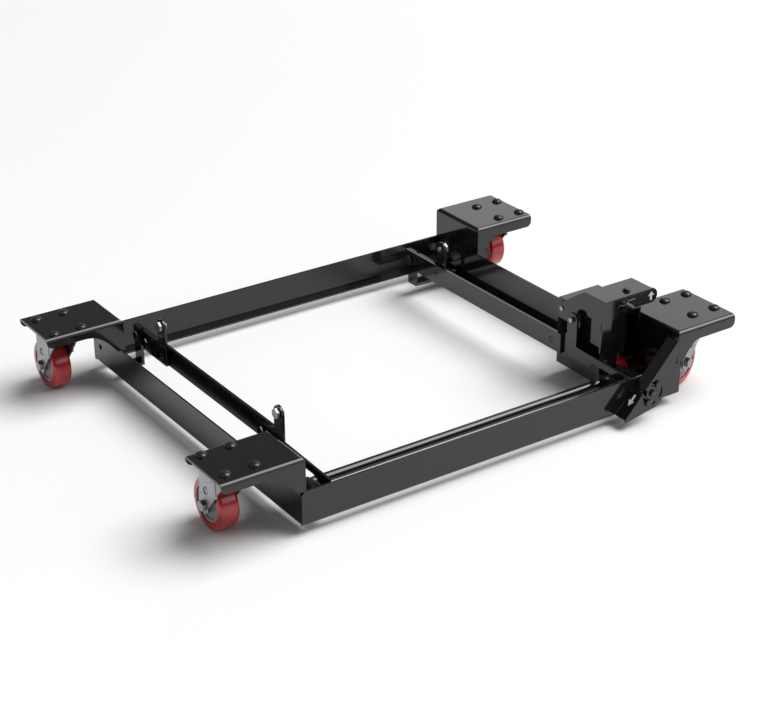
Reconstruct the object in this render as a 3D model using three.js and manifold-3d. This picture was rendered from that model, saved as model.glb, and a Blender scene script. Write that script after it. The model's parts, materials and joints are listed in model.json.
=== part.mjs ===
// Wheeled lifting base for a floor-standing machine, in millimetres, +Z up.
// Four folded rails make a rectangle that always rides on four swivel casters. Two lift arms inside it
// are hinged at the rear and raised at the front by a torsion shaft, which a foot-pumped jack turns.
// Sizes are worked out from the front-left corner of the frame, with z measured from the floor.

import * as THREE from 'three';
import { mergeVertices } from 'three/addons/utils/BufferGeometryUtils.js';
import Module from 'manifold-3d';

const wasm = await Module();
wasm.setup();

const quarter = Math.PI / 2;
const degree = Math.PI / 180;

// Clearances shared by all pieces
const seat = 0.3;
const overrun = 2;
const runningGap = 0.15;

// Frame of four folded rails
const frameLength = 652;
const frameDepth = 596;
const railHeight = 51;
const railWall = 3;
const railLip = 14;
const railBend = 4;
const groundClearance = 15;
const tabBoltShare = 0.62;
const tabBoltHeightShares = [0.25, 0.68];
const reliefRadius = 4;
const cornerTab = 26;
const cornerTabDrop = 6;
const accessHoleRadius = 4.5;
const accessHoleInset = 23;
const accessHoleHeight = 44;
const railTop = groundClearance + railHeight;

// Caster brackets at the four corners
const bracketTop = 115;
const bracketWall = 4;
const foldRadius = 6;
const leftBracketReach = 115;
const leftBracketDepth = 94;
const leftFlangeDrop = 15;
const leftFlangeSweep = 54;
const rightBracketReach = 104;
const rightBracketDepth = 116;
const rightFlangeDrop = 20;
const rightFlangeSweep = 34;
const flangeEndRadius = 9;
const hangerFoot = 30;
const hangerDepth = 60;
const hangerFront = 10;
const hangerBoltShares = [0.25, 0.75];
const sweepShares = [0.62, 0.4, 0.09];

// Swivel casters
const wheelRadius = 37.7;
const treadWidth = 29.5;
const treadShoulder = 5.2;
const hubRadius = 26.4;
const hubWidth = 26;
const hubRecess = 2.5;
const hubBossRadius = 11;
const hubRimWidth = 4;
const axleRadius = 5;
const trail = 36;
const leftCasterInset = 39;
const rightCasterInset = 28;
const leftCasterSetback = 51.5;
const rightCasterSetback = 65;
const boltSpacingX = 43;
const boltSpacingY = 60;
const topPlateMargin = 6.5;
const casterNutRadius = 6;
const rightBoltShift = 3.5;
const topPlateWall = 3.5;
const racewayRadius = 23;
const racewayHeight = 8;
const crownWall = 4;
const crownRadius = 25;
const legWall = 3;
const legSideGap = 1.3;
const legEndRadius = 12;
const legPanelWall = 0.8;
const legFrontShare = 0.75;
const legCrownShare = 0.85;
const legBackShare = 0.55;
const panelShares = [[0.02, 0.42], [0.55, 0.3], [0.72, 0.62], [0.05, 0.82]];
const shoulderSteps = 3;
const sideTurn = 0;
const frontRightTurn = 108;

// Fasteners
const domeRadius = 8.5;
const domeHeight = 4.5;
const domeSteps = 2;
const boltRadius = 4;
const nutHeight = 6;
const hexRadius = 8;
const hexHeight = 5;

// Lift arms, ear plates and rear posts
const bayLeft = 55;
const bayRightInset = 103;
const armWall = 4.5;
const armBottom = 48.5;
const armHeight = 31.5;
const armFront = 150;
const armRearInset = 46;
const earWall = 4;
const earWidth = 22;
const earBoltHeight = 110;
const frontEarCentre = 131;
const rearEarInset = 91;
const frontEarBack = 187;
const earNose = 8;
const earNoseHeight = 18;
const earNotchHeight = 8.5;
const earNotchRun = 21;
const earNotchMargin = 8;
const armBoltInset = 15;
const postBoltShare = 0.2;
const shoulderHeadRadius = 8;
const shoulderHeadHeight = 4;
const rearEarBackInset = 28;
const earShoulderDrop = 10;
const postWidth = 22;
const postWall = 4;
const postTop = 80;
const pivotRadius = 5;

// Lift shaft that raises the front ends of the arms
const crankReach = 40;
const crankSwing = 10;
const crankWall = 6;
const shaftRadius = 7;
const shaftSetback = 64;
const shaftHeight = 33;
const bearingWall = 14;
const bearingRadius = 13;
const leftBearingInset = 30;
const rightBearingInset = 62;
const crankBossWall = 2;
const leverReach = 42;
const leverWall = 4;
const leverRadius = 9;
const rollerRadius = 17;
const rollerWidth = 23;
const rollerPinRadius = 4;

// Foot pump in its housing
const jackInset = 28;
const jackRadius = 13.5;
const jackBottom = 62;
const jackFlange = 26;
const jackFlangeRight = 14;
const jackFlangeWall = 6;
const ramRadius = 9;
const ramLength = 28;
const ramBoreTop = 87;
const plungerRadius = 5;
const plungerTipRadius = 2;
const plungerChamfer = 3;
const plungerLength = 50;
const plungerBoreBottom = 90;
const plungerHole = 8;
const housingWall = 3;
const housingLeftInset = 84;
const housingTop = 126;
const housingFront = 83;
const housingBack = 180;
const housingOpenTop = 60;
const housingLegFront = 130;
const housingPanelFoot = 34;
const housingPanelWidth = 48;
const housingPanelCorner = 6;

// Raise pedal
const padLeftInset = 87.5;
const padWidth = 90;
const padFront = 72;
const padDepth = 46;
const padTop = 157;
const padWall = 3;
const padCorner = 8;
const lipDrop = 10;
const tabWidth = 42;
const tabReach = 10;
const tabDrop = 23;
const skirtWidth = 14;
const skirtDrop = 80;
const skirtFlare = 6;
const skirtCutTop = [18, 10];
const skirtCutTip = [33, 24];
const skirtCutBottom = [14, 34];
const cheekDrop = 36;
const rightCheekDrop = 20;
const cheekEndRadius = 11;
const pinHead = 1.5;
const pedalPivotSetback = 168;
const pedalPivotHeight = 112;
const pedalPinRadius = 4;

// Return spring of the raise pedal
const springRadius = 11;
const springWire = 2.4;
const springCurls = 5;
const springSteps = 8;
const springSides = 5;

// Lower pedal and its release linkage
const lowerPivotInset = 74;
const lowerPivotHeight = 46.5;
const lowerStandoff = 20;
const lowerWall = 3;
const lowerFlange = 18.5;
const lowerBossRadius = 9;
const stopRadius = 15;
const stopAngles = [57, 237];
const slotWidth = 7;
const slotStarts = [-25, 160];
const slotSweep = 118;
const buttonRadius = 5.5;
const buttonHeight = 3;
const stopSleeveRadius = 3;
const releaseShaftRadius = 4.5;
const fingerReach = 22;
const fingerWall = 6;
const fingerRadius = 4;
const valveBlockReach = 34;
const valveBlockHeight = 20;
const valveBlockWidth = 16;
const stemRadius = 3;
const stemLength = 16;

// Corners of the lower pedal's plate, counted from its pivot, from the fold's low end round to its top
const lowerOutline = [[-50, -29], [-48, -34], [9, -23], [18, -16], [41, 33], [47, 64], [43, 70]];

// Places that follow from the sizes above: the pump and the pedals stand by the right rail, and the arms
// hang from the rear.
const bayRight = frameLength - bayRightInset;
const housingLeft = frameLength - housingLeftInset;
const padLeft = frameLength - padLeftInset;
const lowerPivotX = frameLength - lowerPivotInset;
const armRear = frameDepth - armRearInset;
const rearEarCentre = armRear - rearEarInset;
const rearEarBack = armRear - rearEarBackInset;
const crankRise = crankReach * Math.sin(crankSwing * degree);
const crankTipRadius = armBottom - seat - crankRise - shaftHeight;
const leverRise = leverReach * Math.sin(crankSwing * degree);
const jackX = frameLength - railWall - jackInset;
const jackY = shaftSetback + leverReach * Math.cos(crankSwing * degree);
const rollerHeight = shaftHeight - leverRise;
const pivotY = armRear - postWidth / 2;
const pivotZ = armBottom + armHeight / 2;
const housingRight = frameLength - railWall - bracketWall - 2 * seat;
const outerLeft = -leftBracketReach;
const outerRight = frameLength + rightBracketReach;
const frontReach = lowerStandoff + lowerWall + seat + buttonHeight;
const rearReach = trail + wheelRadius - leftCasterSetback;

// A closed three.js geometry becomes a solid once its shared corners are merged.
function solidOf(geometry) {
  const bare = geometry.index ? geometry.toNonIndexed() : geometry.clone();
  bare.deleteAttribute('normal');
  bare.deleteAttribute('uv');
  const merged = mergeVertices(bare, 1e-4);
  return new wasm.Manifold(new wasm.Mesh({
    numProp: 3,
    vertProperties: new Float32Array(merged.attributes.position.array),
    triVerts: new Uint32Array(merged.index.array),
  }));
}

function geometryOf(solid) {
  const mesh = solid.getMesh();
  const geometry = new THREE.BufferGeometry();
  geometry.setAttribute('position', new THREE.BufferAttribute(mesh.vertProperties, 3));
  geometry.setIndex(new THREE.BufferAttribute(mesh.triVerts, 1));
  return geometry;
}

function joined(...geometries) {
  return geometryOf(geometries.map(solidOf).reduce((sum, next) => sum.add(next)));
}

function cut(body, ...tools) {
  return geometryOf(tools.map(solidOf).reduce((rest, tool) => rest.subtract(tool), solidOf(body)));
}

// A block between two corners.
function block(x0, x1, y0, y1, z0, z1) {
  const geometry = new THREE.BoxGeometry(x1 - x0, y1 - y0, z1 - z0);
  return geometry.translate((x0 + x1) / 2, (y0 + y1) / 2, (z0 + z1) / 2);
}

// Round bars along each axis, from one end to the other.
function barX(radius, x0, x1, y, z, sides = 20) {
  const geometry = new THREE.CylinderGeometry(radius, radius, x1 - x0, sides);
  return geometry.rotateZ(quarter).translate((x0 + x1) / 2, y, z);
}

function barY(radius, y0, y1, x, z, sides = 20) {
  const geometry = new THREE.CylinderGeometry(radius, radius, y1 - y0, sides);
  return geometry.translate(x, (y0 + y1) / 2, z);
}

function barZ(radius, z0, z1, x, y, sides = 20) {
  const geometry = new THREE.CylinderGeometry(radius, radius, z1 - z0, sides);
  return geometry.rotateX(quarter).translate(x, y, (z0 + z1) / 2);
}

// A plate whose outline is drawn in (y, z) and which is thick along X.
function plateYZ(shape, x0, x1, curveSegments = 8) {
  const geometry = new THREE.ExtrudeGeometry(shape, { depth: x1 - x0, bevelEnabled: false, curveSegments });
  return geometry.rotateY(quarter).rotateX(quarter).translate(x0, 0, 0);
}

// A plate whose outline is drawn in (x, z) and which is thick along Y.
function plateXZ(shape, y0, y1, curveSegments = 8) {
  const geometry = new THREE.ExtrudeGeometry(shape, { depth: y1 - y0, bevelEnabled: false, curveSegments });
  return geometry.rotateX(quarter).translate(0, y1, 0);
}

function outline(points) {
  return new THREE.Shape(points.map(([a, b]) => new THREE.Vector2(a, b)));
}

// The mirror image of a geometry about the plane across one axis, with its faces turned back outwards.
function mirrored(geometry, axis, plane) {
  const copy = geometry.index ? geometry.toNonIndexed() : geometry.clone();
  copy.deleteAttribute('normal');
  copy.deleteAttribute('uv');
  const places = copy.attributes.position;
  const flipped = new Float32Array(places.array.length);
  for (let corner = 0; corner < places.count; corner += 1) {
    const swapped = corner - (corner % 3) + (2 - (corner % 3));
    const point = [places.getX(corner), places.getY(corner), places.getZ(corner)];
    point[axis] = 2 * plane - point[axis];
    flipped.set(point, swapped * 3);
  }
  const result = new THREE.BufferGeometry();
  result.setAttribute('position', new THREE.BufferAttribute(flipped, 3));
  return mergeVertices(result, 1e-4);
}

const group = new THREE.Group();
const finishes = {
  powder: { color: 0x0d0d0e, roughness: 0.22, metalness: 0.1 },
  zinc: { color: 0xb9bcc0, roughness: 0.35, metalness: 0.9 },
  hub: { color: 0x8d9094, roughness: 0.5, metalness: 0.1 },
  tread: { color: 0xb3161c, roughness: 0.4, metalness: 0 },
  steel: { color: 0x8a8c90, roughness: 0.3, metalness: 1 },
  blackBolt: { color: 0x18181a, roughness: 0.35, metalness: 0.6 },
};

function addPart(name, geometry, finish) {
  const mesh = new THREE.Mesh(geometry, new THREE.MeshStandardMaterial(finishes[finish]));
  mesh.name = name;
  group.add(mesh);
  return mesh;
}

// Hexagon head with its short shank, on an axis along X that points to dir (+1 or -1) away from its seat.
function hexBoltX(x, y, z, dir, shank) {
  const head = barX(hexRadius, Math.min(x, x + dir * hexHeight), Math.max(x, x + dir * hexHeight), y, z, 6);
  const tip = x - dir * shank;
  const root = x + dir * hexHeight / 2;
  const body = barX(boltRadius, Math.min(root, tip), Math.max(root, tip), y, z, 12);
  return joined(head, body);
}

// Folded L-section of a rail: upright web, bent foot lip turned into the frame.
function railSection() {
  const shape = new THREE.Shape();
  shape.moveTo(0, railTop);
  shape.lineTo(0, groundClearance + railBend);
  shape.absarc(railBend, groundClearance + railBend, railBend, Math.PI, Math.PI + quarter, false);
  shape.lineTo(railLip, groundClearance);
  shape.lineTo(railLip, groundClearance + railWall);
  shape.lineTo(railWall, groundClearance + railWall);
  shape.lineTo(railWall, railTop);
  return shape;
}

// Rail along X with relief notches at its top corners, and its lip cut back where the side rails stand.
function crossRail() {
  const rail = new THREE.ExtrudeGeometry(railSection(), {
    depth: frameLength,
    bevelEnabled: false,
    curveSegments: 4,
  });
  rail.rotateX(quarter).rotateZ(quarter);
  const ends = [[-overrun, railWall + seat], [frameLength - railWall - seat, frameLength + overrun]];
  return cut(
    rail,
    barY(reliefRadius, -overrun, railWall + overrun, 0, railTop, 12),
    barY(reliefRadius, -overrun, railWall + overrun, frameLength, railTop, 12),
    ...ends.map(([x0, x1]) => block(x0, x1, railWall, railLip + overrun, 0, groundClearance + railBend)),
  );
}

// Front rail: web in the plane y = 0, with the holes of the lower pedal's shaft and stop screws.
function frontRail() {
  const holes = stopPlaces().map(([x, z]) => (
    barY(stopSleeveRadius + seat, -overrun, railWall + overrun, x, z, 12)));
  return cut(
    crossRail(),
    barY(releaseShaftRadius + runningGap, -overrun, railWall + overrun, lowerPivotX, lowerPivotHeight, 16),
    ...holes,
  );
}

// Side rail between the front and rear rails, with end tabs bent inwards and the bolts that hold them.
function leftRail() {
  const y0 = railWall + seat;
  const y1 = frameDepth - railWall - seat;
  const rail = new THREE.ExtrudeGeometry(railSection(), {
    depth: y1 - y0,
    bevelEnabled: false,
    curveSegments: 4,
  });
  rail.rotateX(quarter).translate(0, y1, 0);
  const tabX = railWall + cornerTab;
  const tabTop = railTop - cornerTabDrop;
  const tabBottom = groundClearance + railWall + seat;
  const web = railWall / 2;
  const frontTab = block(web, tabX, y0, y0 + railWall, tabBottom, tabTop);
  const rearTab = block(web, tabX, y1 - railWall, y1, tabBottom, tabTop);
  const lipTop = groundClearance + railWall + overrun;
  const cleared = cut(
    rail,
    block(railWall, railLip + overrun, y0 - overrun, railLip + seat, 0, lipTop),
    block(railWall, railLip + overrun, frameDepth - railLip - seat, y1 + overrun, 0, lipTop),
  );
  const access = barX(accessHoleRadius, -overrun, railWall + overrun, frameDepth - accessHoleInset,
    accessHoleHeight, 12);
  const heads = tabBoltPlaces().map(([x, y, z]) => {
    const front = y < frameDepth / 2;
    return barY(hexRadius, y - (front ? seat : hexHeight), y + (front ? hexHeight : seat), x, z, 6);
  });
  return cut(joined(cleared, frontTab, rearTab, ...heads), access);
}

// Bolt places on the inner faces of the left rail's end tabs.
function tabBoltPlaces() {
  const x = railWall + cornerTab * tabBoltShare;
  const heights = tabBoltHeightShares.map((share) => groundClearance + railHeight * share);
  const tabBack = 2 * railWall + seat;
  return [tabBack, frameDepth - tabBack].flatMap((y) => heights.map((z) => [x, y, z]));
}

// Places of the two stop screws of the lower pedal, on a circle round its pivot.
function stopPlaces() {
  return stopAngles.map((angle) => [
    lowerPivotX + stopRadius * Math.cos(angle * degree),
    lowerPivotHeight + stopRadius * Math.sin(angle * degree),
  ]);
}

// Front or back flange of a caster bracket: full depth at the frame corner, swept up to a shallow
// edge under the caster, with a rounded outer end.
function flangeShape(reach, drop, sweep) {
  const shape = new THREE.Shape();
  const edge = bracketTop - drop;
  const foot = railTop + seat;
  shape.moveTo(railWall + seat + bracketWall, bracketTop);
  shape.lineTo(-reach, bracketTop);
  shape.lineTo(-reach, edge + flangeEndRadius);
  const radius = flangeEndRadius;
  shape.absarc(-reach + radius, edge + radius, radius, Math.PI, Math.PI + quarter, false);
  shape.lineTo(-sweep, edge);
  shape.bezierCurveTo(-sweep * sweepShares[0], edge, -sweep * sweepShares[1], foot + sweep * sweepShares[1],
    -sweep * sweepShares[2], foot);
  shape.lineTo(railWall + seat + bracketWall, foot);
  return shape;
}

// What lies outside a fold along X whose sharp edge is at (y, z), with the plate towards side and down.
function foldCornerX(x0, x1, y, z, side) {
  const inner = y + side * foldRadius;
  const outer = y - side * overrun;
  const corner = block(x0, x1, Math.min(inner, outer), Math.max(inner, outer), z - foldRadius, z + overrun);
  return cut(corner, barX(foldRadius, x0 - overrun, x1 + overrun, inner, z - foldRadius, 16));
}

// The same for a fold along Y whose sharp edge is at (x, z), with the plate towards -X and down.
function foldCornerY(y0, y1, x, z) {
  const inner = x - foldRadius;
  const corner = block(inner, x + overrun, y0, y1, z - foldRadius, z + overrun);
  return cut(corner, barY(foldRadius, y0 - overrun, y1 + overrun, inner, z - foldRadius, 16));
}

// Inner plate of a caster bracket: stands on the corner and hangs down inside the side rail.
function hangerShape(depth) {
  const foot = railTop + seat;
  return outline([
    [0, bracketTop],
    [0, foot],
    [hangerFront, foot],
    [hangerFront, hangerFoot],
    [hangerFront + hangerDepth, hangerFoot],
    [hangerFront + hangerDepth, foot],
    [depth, foot],
    [depth, bracketTop],
  ]);
}

// A folded caster bracket at the front-left corner: top plate, front and back flanges and inner plate
// with the bolts that hold it to the side rail.
function casterBracket({ reach, depth, drop, sweep, inset, setback, boltShift }) {
  const inner = railWall + seat;
  const top = block(-reach, inner + bracketWall, 0, depth, bracketTop - bracketWall, bracketTop);
  const flange = flangeShape(reach, drop, sweep);
  const front = plateXZ(flange, 0, bracketWall, 6);
  const back = plateXZ(flange, depth - bracketWall, depth, 6);
  const hanger = plateYZ(hangerShape(depth), inner, inner + bracketWall);
  const holes = boltPattern(-reach + inset + boltShift, setback).map(([x, y]) => (
    barZ(boltRadius + seat, bracketTop - bracketWall - overrun, bracketTop + overrun, x, y, 8)));
  const face = inner + bracketWall;
  const heads = hangerBoltPlaces().map(([y, z]) => barX(hexRadius, face - seat, face + hexHeight, y, z, 6));
  const folds = [
    foldCornerX(-reach - overrun, face + overrun, 0, bracketTop, 1),
    foldCornerX(-reach - overrun, face + overrun, depth, bracketTop, -1),
    foldCornerY(-overrun, depth + overrun, face, bracketTop),
  ];
  return cut(joined(top, front, back, hanger, ...heads), ...holes, ...folds);
}

function boltPattern(x, y) {
  return [-1, 1].flatMap((a) => [-1, 1].map((b) => [x + a * boltSpacingX / 2, y + b * boltSpacingY / 2]));
}

function hangerBoltPlaces() {
  const z = (hangerFoot + railTop) / 2;
  return hangerBoltShares.map((share) => [hangerFront + hangerDepth * share, z]);
}

const leftBracket = {
  reach: leftBracketReach,
  depth: leftBracketDepth,
  drop: leftFlangeDrop,
  sweep: leftFlangeSweep,
  inset: leftCasterInset,
  setback: leftCasterSetback,
  boltShift: 0,
};
const rightBracket = {
  reach: rightBracketReach,
  depth: rightBracketDepth,
  drop: rightFlangeDrop,
  sweep: rightFlangeSweep,
  inset: rightCasterInset,
  setback: rightCasterSetback,
  boltShift: rightBoltShift,
};

// Domed bolt through the bracket into the caster's top plate, with its nut below.
function casterBolt(x, y) {
  const profile = [[0, bracketTop + seat], [domeRadius, bracketTop + seat]];
  for (let step = 1; step <= domeSteps; step += 1) {
    const angle = quarter * step / domeSteps;
    const radius = step === domeSteps ? 0 : domeRadius * Math.cos(angle);
    profile.push([radius, bracketTop + seat + domeHeight * Math.sin(angle)]);
  }
  const dome = new THREE.LatheGeometry(profile.map(([r, z]) => new THREE.Vector2(r, z)), 12);
  dome.rotateX(quarter).translate(x, y, 0);
  const plateBottom = bracketTop - bracketWall - seat - topPlateWall;
  const shank = barZ(boltRadius, plateBottom, bracketTop + domeHeight / 2, x, y, 8);
  const nut = barZ(casterNutRadius, plateBottom - nutHeight, plateBottom + seat, x, y, 6);
  return joined(dome, shank, nut);
}

// Caster top plate with its four bolts and the ball raceway under it, round the swivel axis at the origin.
// The right brackets are shorter, so their plates stand a little nearer the frame than the axis.
function casterPlate(shift) {
  const top = bracketTop - bracketWall - seat;
  const halfX = boltSpacingX / 2 + topPlateMargin;
  const halfY = boltSpacingY / 2 + topPlateMargin;
  const plate = block(shift - halfX, shift + halfX, -halfY, halfY, top - topPlateWall, top);
  const race = barZ(racewayRadius, top - topPlateWall - racewayHeight, top - topPlateWall / 2, 0, 0, 24);
  return joined(plate, race, ...boltPattern(shift, 0).map(([x, y]) => casterBolt(x, y)));
}

// Outline of a fork leg seen from its side, with the trail direction to the right.
function legShape() {
  const crownTop = crownHeight();
  const shape = new THREE.Shape();
  const front = -crownRadius * legFrontShare;
  const back = trail + legEndRadius * legBackShare;
  shape.moveTo(front, crownTop);
  shape.lineTo(front, crownTop - crownWall * 2);
  shape.lineTo(trail - legEndRadius, wheelRadius);
  shape.absarc(trail, wheelRadius, legEndRadius, Math.PI, Math.PI * 2, false);
  shape.lineTo(back, crownTop - crownWall * 2);
  shape.lineTo(crownRadius * legCrownShare, crownTop);
  return shape;
}

function crownHeight() {
  return bracketTop - bracketWall - topPlateWall - racewayHeight - 3 * seat;
}

// Pressed caster fork: crown under the raceway and two legs that trail back to the axle.
function casterFork() {
  const top = crownHeight();
  const half = treadWidth / 2 + legSideGap;
  const crown = barZ(crownRadius, top - crownWall, top, 0, 0, 20);
  const front = -crownRadius * legFrontShare;
  const back = crownRadius * legCrownShare;
  const bridge = block(-half - legWall, half + legWall, front, back, top - crownWall, top);
  const leg = legShape();
  const right = plateYZ(leg, half, half + legWall, 6);
  const left = plateYZ(leg, -half - legWall, -half, 6);
  const drop = top - wheelRadius;
  const panelShape = outline(panelShares.map(([t, h]) => [trail * t, wheelRadius + drop * h]));
  const rightPanel = plateYZ(panelShape, half + legWall / 2, half + legWall + legPanelWall);
  const leftPanel = plateYZ(panelShape, -half - legWall - legPanelWall, -half - legWall / 2);
  const axleHole = barX(axleRadius + runningGap, -frameDepth, frameDepth, trail, wheelRadius, 16);
  return cut(joined(crown, bridge, right, left, rightPanel, leftPanel), axleHole);
}

// Axle bolt with a hexagon head and nut outside the legs.
function casterAxle() {
  const face = treadWidth / 2 + legSideGap + legWall + seat;
  const bar = barX(axleRadius, -face - hexHeight / 2, face + hexHeight / 2, trail, wheelRadius, 16);
  const head = barX(hexRadius, face, face + hexHeight, trail, wheelRadius, 6);
  const nut = barX(hexRadius, -face - hexHeight, -face, trail, wheelRadius, 6);
  return joined(bar, head, nut);
}

// Moulded wheel hub: bore, boss, recessed web and rim, turned about the axle.
function wheelHub() {
  const half = hubWidth / 2;
  const bore = axleRadius + runningGap;
  const profile = [
    [bore, -half - seat],
    [hubBossRadius, -half - seat],
    [hubBossRadius, -half + hubRecess],
    [hubRadius - hubRimWidth, -half + hubRecess],
    [hubRadius - hubRimWidth, -half],
    [hubRadius, -half],
    [hubRadius, half],
    [hubRadius - hubRimWidth, half],
    [hubRadius - hubRimWidth, half - hubRecess],
    [hubBossRadius, half - hubRecess],
    [hubBossRadius, half + seat],
    [bore, half + seat],
    [bore, -half - seat],
  ];
  const hub = new THREE.LatheGeometry(profile.map(([r, y]) => new THREE.Vector2(r, y)), 24);
  return hub.rotateZ(quarter).translate(0, trail, wheelRadius);
}

// Polyurethane tread with rounded shoulders, pressed round the hub.
function wheelTread() {
  const half = treadWidth / 2;
  const inner = hubRadius + seat;
  const flat = half - treadShoulder;
  const points = [[inner, -half]];
  for (let step = 0; step <= shoulderSteps; step += 1) {
    const angle = -quarter + quarter * step / shoulderSteps;
    points.push([
      wheelRadius - treadShoulder + treadShoulder * Math.cos(angle),
      -flat + treadShoulder * Math.sin(angle),
    ]);
  }
  for (let step = 0; step <= shoulderSteps; step += 1) {
    const angle = quarter * step / shoulderSteps;
    points.push([
      wheelRadius - treadShoulder + treadShoulder * Math.cos(angle),
      flat + treadShoulder * Math.sin(angle),
    ]);
  }
  points.push([inner, half], [inner, -half]);
  const tread = new THREE.LatheGeometry(points.map(([r, y]) => new THREE.Vector2(r, y)), 32);
  return tread.rotateZ(quarter).translate(0, trail, wheelRadius);
}

// One complete caster on its swivel axis: the plate keeps square, the rest is turned about it.
function addCaster(name, x, y, turn, shift) {
  addPart(`${name}_caster_plate`, casterPlate(shift), 'zinc').position.set(x, y, 0);
  const turned = new THREE.Group();
  turned.position.set(x, y, 0);
  turned.rotation.z = turn * degree;
  const pieces = [
    ['fork', casterFork(), 'zinc'],
    ['axle', casterAxle(), 'steel'],
    ['hub', wheelHub(), 'hub'],
    ['tread', wheelTread(), 'tread'],
  ];
  pieces.forEach(([piece, geometry, finish]) => turned.add(addPart(`${name}_${piece}`, geometry, finish)));
  group.add(turned);
}

// Outline round two circles: the side of a link, crank or lever.
function linkShape(y0, z0, r0, y1, z1, r1) {
  const direction = Math.atan2(z1 - z0, y1 - y0);
  const spread = Math.acos((r0 - r1) / Math.hypot(y1 - y0, z1 - z0));
  const shape = new THREE.Shape();
  shape.absarc(y0, z0, r0, direction + spread, direction - spread + Math.PI * 2, false);
  shape.absarc(y1, z1, r1, direction - spread, direction + spread, false);
  return shape;
}

// Left lift arm: a flat bar on edge beside the bay, hinged at its rear end.
function leftArm() {
  const bar = block(bayLeft - armWall, bayLeft, armFront, armRear, armBottom, armBottom + armHeight);
  const [x0, x1] = [bayLeft - armWall - overrun, bayLeft + overrun];
  const pivot = barX(pivotRadius + runningGap, x0, x1, pivotY, pivotZ, 20);
  const holes = armBoltPlaces().map(([y, z]) => barX(boltRadius + seat, x0, x1, y, z, 10));
  return cut(bar, pivot, ...holes);
}

// Places of the bolts that join the ear plates to the arm.
function armBoltPlaces() {
  const rearEarFront = rearEarCentre - earWidth / 2;
  return [
    [frontEarBack - armBoltInset, pivotZ],
    [rearEarFront + armBoltInset, pivotZ],
    [rearEarBack - armBoltInset, pivotZ],
  ];
}

// Front ear plate: a round-topped ear for the machine's bolt and a nose that the lift crank carries.
function frontEarShape() {
  const top = armBottom + armHeight;
  const half = earWidth / 2;
  const tipY = shaftSetback - crankReach * Math.cos(crankSwing * degree);
  const notchBack = shaftSetback + shaftRadius + crankBossWall + earNotchMargin;
  const shape = new THREE.Shape();
  shape.moveTo(earNose, armBottom);
  shape.lineTo(tipY, armBottom);
  shape.lineTo(tipY + earNotchRun, armBottom + earNotchHeight);
  shape.lineTo(notchBack, armBottom + earNotchHeight);
  shape.lineTo(notchBack + earNotchHeight, armBottom);
  shape.lineTo(frontEarBack, armBottom);
  shape.lineTo(frontEarBack, top - earShoulderDrop / 2);
  shape.lineTo(frontEarCentre + half + earShoulderDrop, top);
  shape.lineTo(frontEarCentre + half, top + earShoulderDrop / 2);
  shape.absarc(frontEarCentre, earBoltHeight, half, 0, Math.PI, false);
  shape.lineTo(frontEarCentre - half, top - earShoulderDrop);
  shape.lineTo(earNose, armBottom + earNoseHeight);
  return shape;
}

// Rear ear plate: the same ear at the front of a plain strap.
function rearEarShape() {
  const top = armBottom + armHeight;
  const half = earWidth / 2;
  const shape = new THREE.Shape();
  shape.moveTo(rearEarCentre - half, armBottom);
  shape.lineTo(rearEarBack, armBottom);
  shape.lineTo(rearEarBack, top);
  shape.lineTo(rearEarCentre + half + earShoulderDrop, top);
  shape.lineTo(rearEarCentre + half, top + earShoulderDrop / 2);
  shape.absarc(rearEarCentre, earBoltHeight, half, 0, Math.PI, false);
  return shape;
}

// An ear plate with the bolts that join it to the arm, and the hole for the machine's bolt.
function earPlate(shape, machineBoltY, bolts) {
  const x1 = bayLeft - armWall - seat;
  const x0 = x1 - earWall;
  const hole = barX(boltRadius + seat, x0 - overrun, x1 + overrun, machineBoltY, earBoltHeight, 10);
  const fixings = bolts.flatMap(([y, z]) => [
    barX(hexRadius, x0 - hexHeight, x0 + seat, y, z, 6),
    barX(boltRadius, x0 + seat, bayLeft - seat, y, z, 8),
  ]);
  return joined(cut(plateYZ(shape, x0, x1, 8), hole), ...fixings);
}

// Hex bolt that holds the machine to an ear.
function machineBolt(y) {
  return hexBoltX(bayLeft - armWall - 2 * seat - earWall, y, earBoltHeight, -1, earWall + armWall);
}

// Rear post of the left arm: a strap folded up from a foot that lies on the rail's lip.
function leftPost() {
  const foot = groundClearance + railWall + seat;
  const x1 = bayLeft - armWall - seat;
  const shape = outline([
    [railWall + seat, foot],
    [x1, foot],
    [x1, postTop],
    [x1 - postWall, postTop],
    [x1 - postWall, foot + postWall],
    [railWall + seat, foot + postWall],
  ]);
  const post = plateXZ(shape, armRear - postWidth, armRear);
  const hole = barX(pivotRadius + runningGap, x1 - postWall - overrun, x1 + overrun, pivotY, pivotZ, 20);
  const bolt = barZ(hexRadius, foot + postWall - seat, foot + postWall + hexHeight, postBoltX(), pivotY, 6);
  return cut(joined(post, bolt), hole);
}

function postBoltX() {
  return railWall + seat + (bayLeft - armWall) * postBoltShare;
}

// The right post has a longer foot, because the bay stands nearer the left rail.
function rightPost() {
  const foot = groundClearance + railWall + seat;
  const x0 = bayRight + armWall + seat;
  const end = frameLength - railWall - seat;
  const shape = outline([
    [x0, foot],
    [end, foot],
    [end, foot + postWall],
    [x0 + postWall, foot + postWall],
    [x0 + postWall, postTop],
    [x0, postTop],
  ]);
  const post = plateXZ(shape, armRear - postWidth, armRear);
  const hole = barX(pivotRadius + runningGap, x0 - overrun, x0 + postWall + overrun, pivotY, pivotZ, 20);
  const step = foot + postWall;
  const bolt = barZ(hexRadius, step - seat, step + hexHeight, frameLength - postBoltX(), pivotY, 6);
  return cut(joined(post, bolt), hole);
}

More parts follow.
